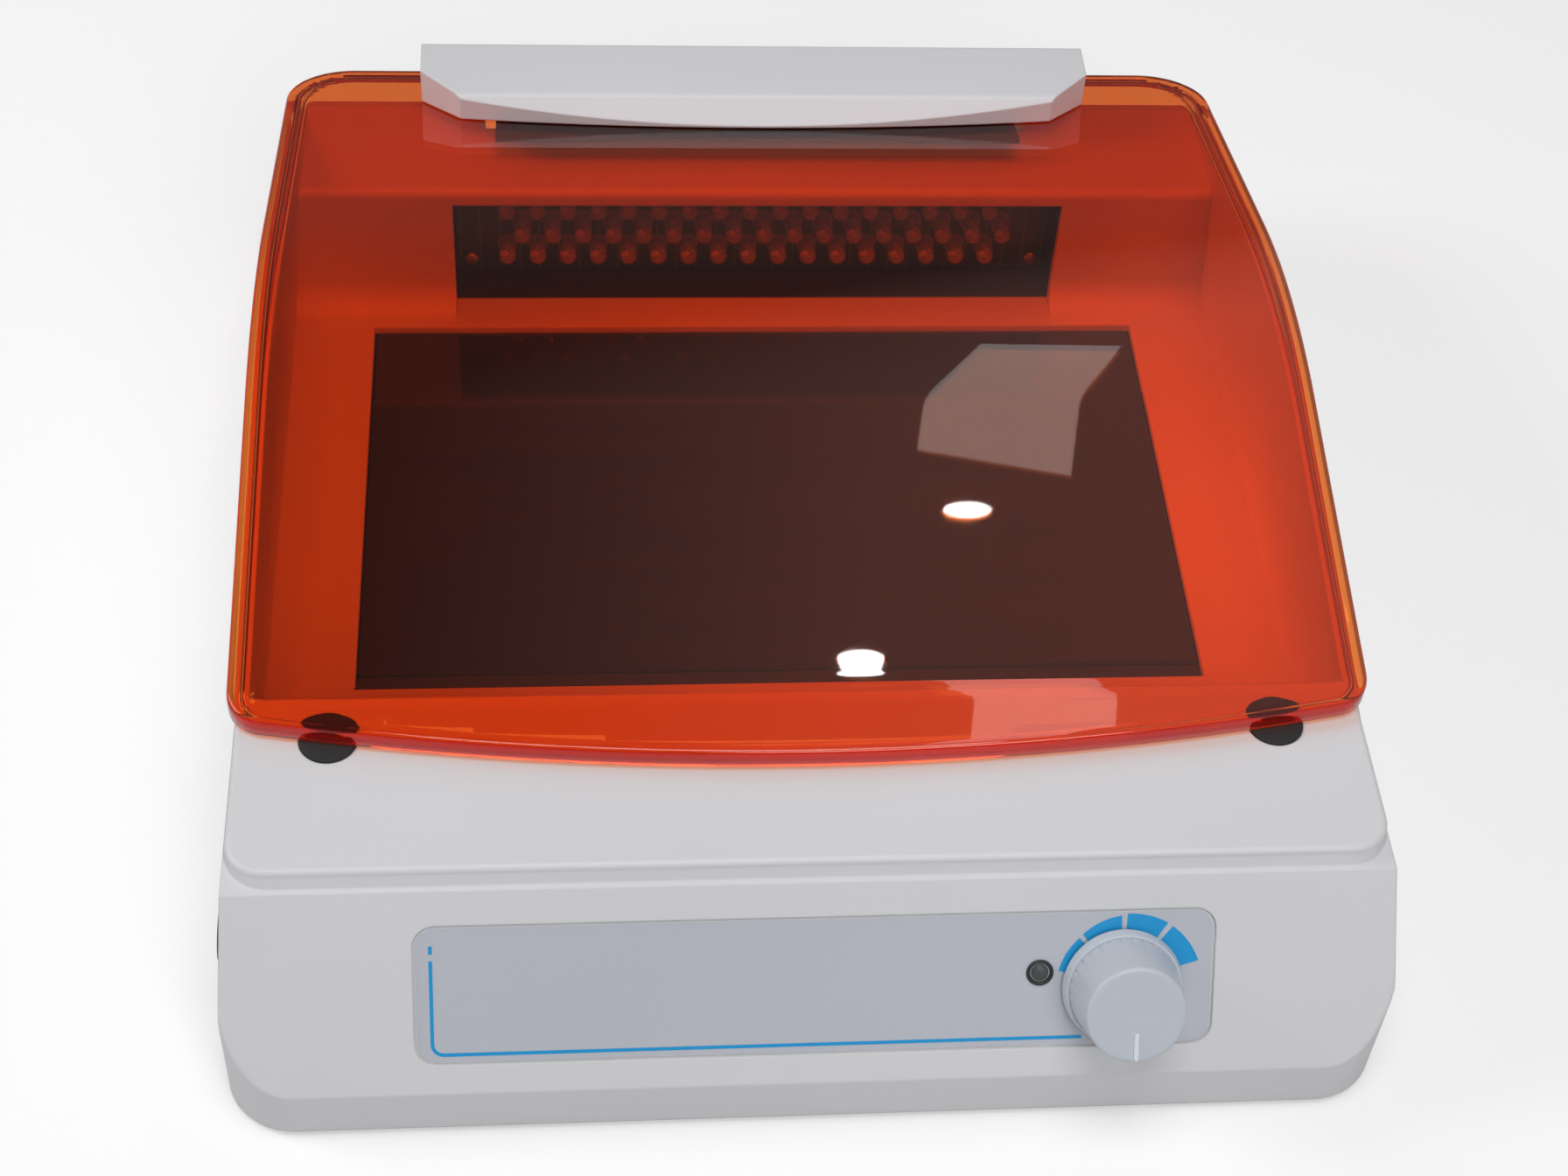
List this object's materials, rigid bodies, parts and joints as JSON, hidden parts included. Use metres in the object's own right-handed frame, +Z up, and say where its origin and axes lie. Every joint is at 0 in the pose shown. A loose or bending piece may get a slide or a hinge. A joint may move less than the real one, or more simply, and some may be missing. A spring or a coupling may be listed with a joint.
{
  "type": "blue light transilluminator",
  "caption": "Low white bench instrument with a sloped control face, a dark glass sample stage lit by LEDs in the tray's back wall, and a hinged arched amber viewing cover.",
  "frame": {"origin": "on the table under the middle of the footprint", "axes": "+Z up, the console and knob at -Y, the hinge at +Y, +X to the right as seen from the console"},
  "size_m": [0.2658, 0.3196, 0.0829],
  "materials": {
    "white_plastic": "fine moulded texture, off-white",
    "base_plastic": "plain moulded",
    "rubber": "matt",
    "screw_steel": "plated",
    "dark_glass": "polished black glass",
    "black_plastic": "fine moulded texture",
    "circuit_board": "lacquered",
    "led_lens": "clear cast lens",
    "aluminium": "extruded",
    "grey_panel": "printed film, light texture",
    "lamp_lens": "clear cast lens",
    "grey_knob": "satin",
    "bright_steel": "nickel plated",
    "brass": "turned",
    "black_gloss": "satin black",
    "amber_sheet": "clear amber acrylic, polished",
    "black_metal": "black painted steel"
  },
  "bodies": {
    "base": {"upper_housing": "white_plastic", "base_plate": "base_plastic", "rubber_feet": "rubber", "base_screws": "screw_steel", "stage_plate": "dark_glass", "stage_frame": "black_plastic", "stage_screws": "screw_steel", "led_chamber": "black_plastic", "led_board": "circuit_board", "led_array": "led_lens", "led_heat_sink": "aluminium", "led_board_screws": "screw_steel", "control_overlay": "grey_panel", "indicator_holder": "black_plastic", "indicator_led": "lamp_lens", "potentiometer_body": "bright_steel", "potentiometer_nut": "bright_steel", "driver_board": "circuit_board", "driver_standoffs": "brass", "driver_screws": "screw_steel", "switch_housing": "black_plastic", "dc_inlet": "black_plastic", "inlet_nut": "bright_steel", "hinge_pin": "bright_steel", "hinge_brackets": "black_metal", "bracket_screws": "screw_steel", "friction_washers": "bright_steel", "cover_bumpers": "rubber"},
    "cover": {"viewing_cover": "amber_sheet", "hinge_bar": "white_plastic", "clamp_strip": "black_metal", "clamp_screws": "screw_steel"},
    "dial": {"dimmer_knob": "grey_knob", "potentiometer_shaft": "bright_steel"},
    "rocker": {"power_rocker": "black_gloss"}
  },
  "joints": [
    {"name": "cover_hinge", "type": "hinge", "parent": "base", "child": "cover", "pos_m": [0, 0.15, 0.0525], "axis": [-1, 0, 0], "range_deg": [0, 75]},
    {"name": "dimmer_turn", "type": "hinge", "parent": "base", "child": "dial", "pos_m": [0.068, -0.13892, 0.03371], "axis": [0, 0.829, -0.5592], "range_deg": [0, 270]},
    {"name": "power_tilt", "type": "hinge", "parent": "base", "child": "rocker", "pos_m": [-0.13194, -0.113, 0.02503], "axis": [-0.0606, 0, -0.9982], "range_deg": [0, 14]}
  ]
}
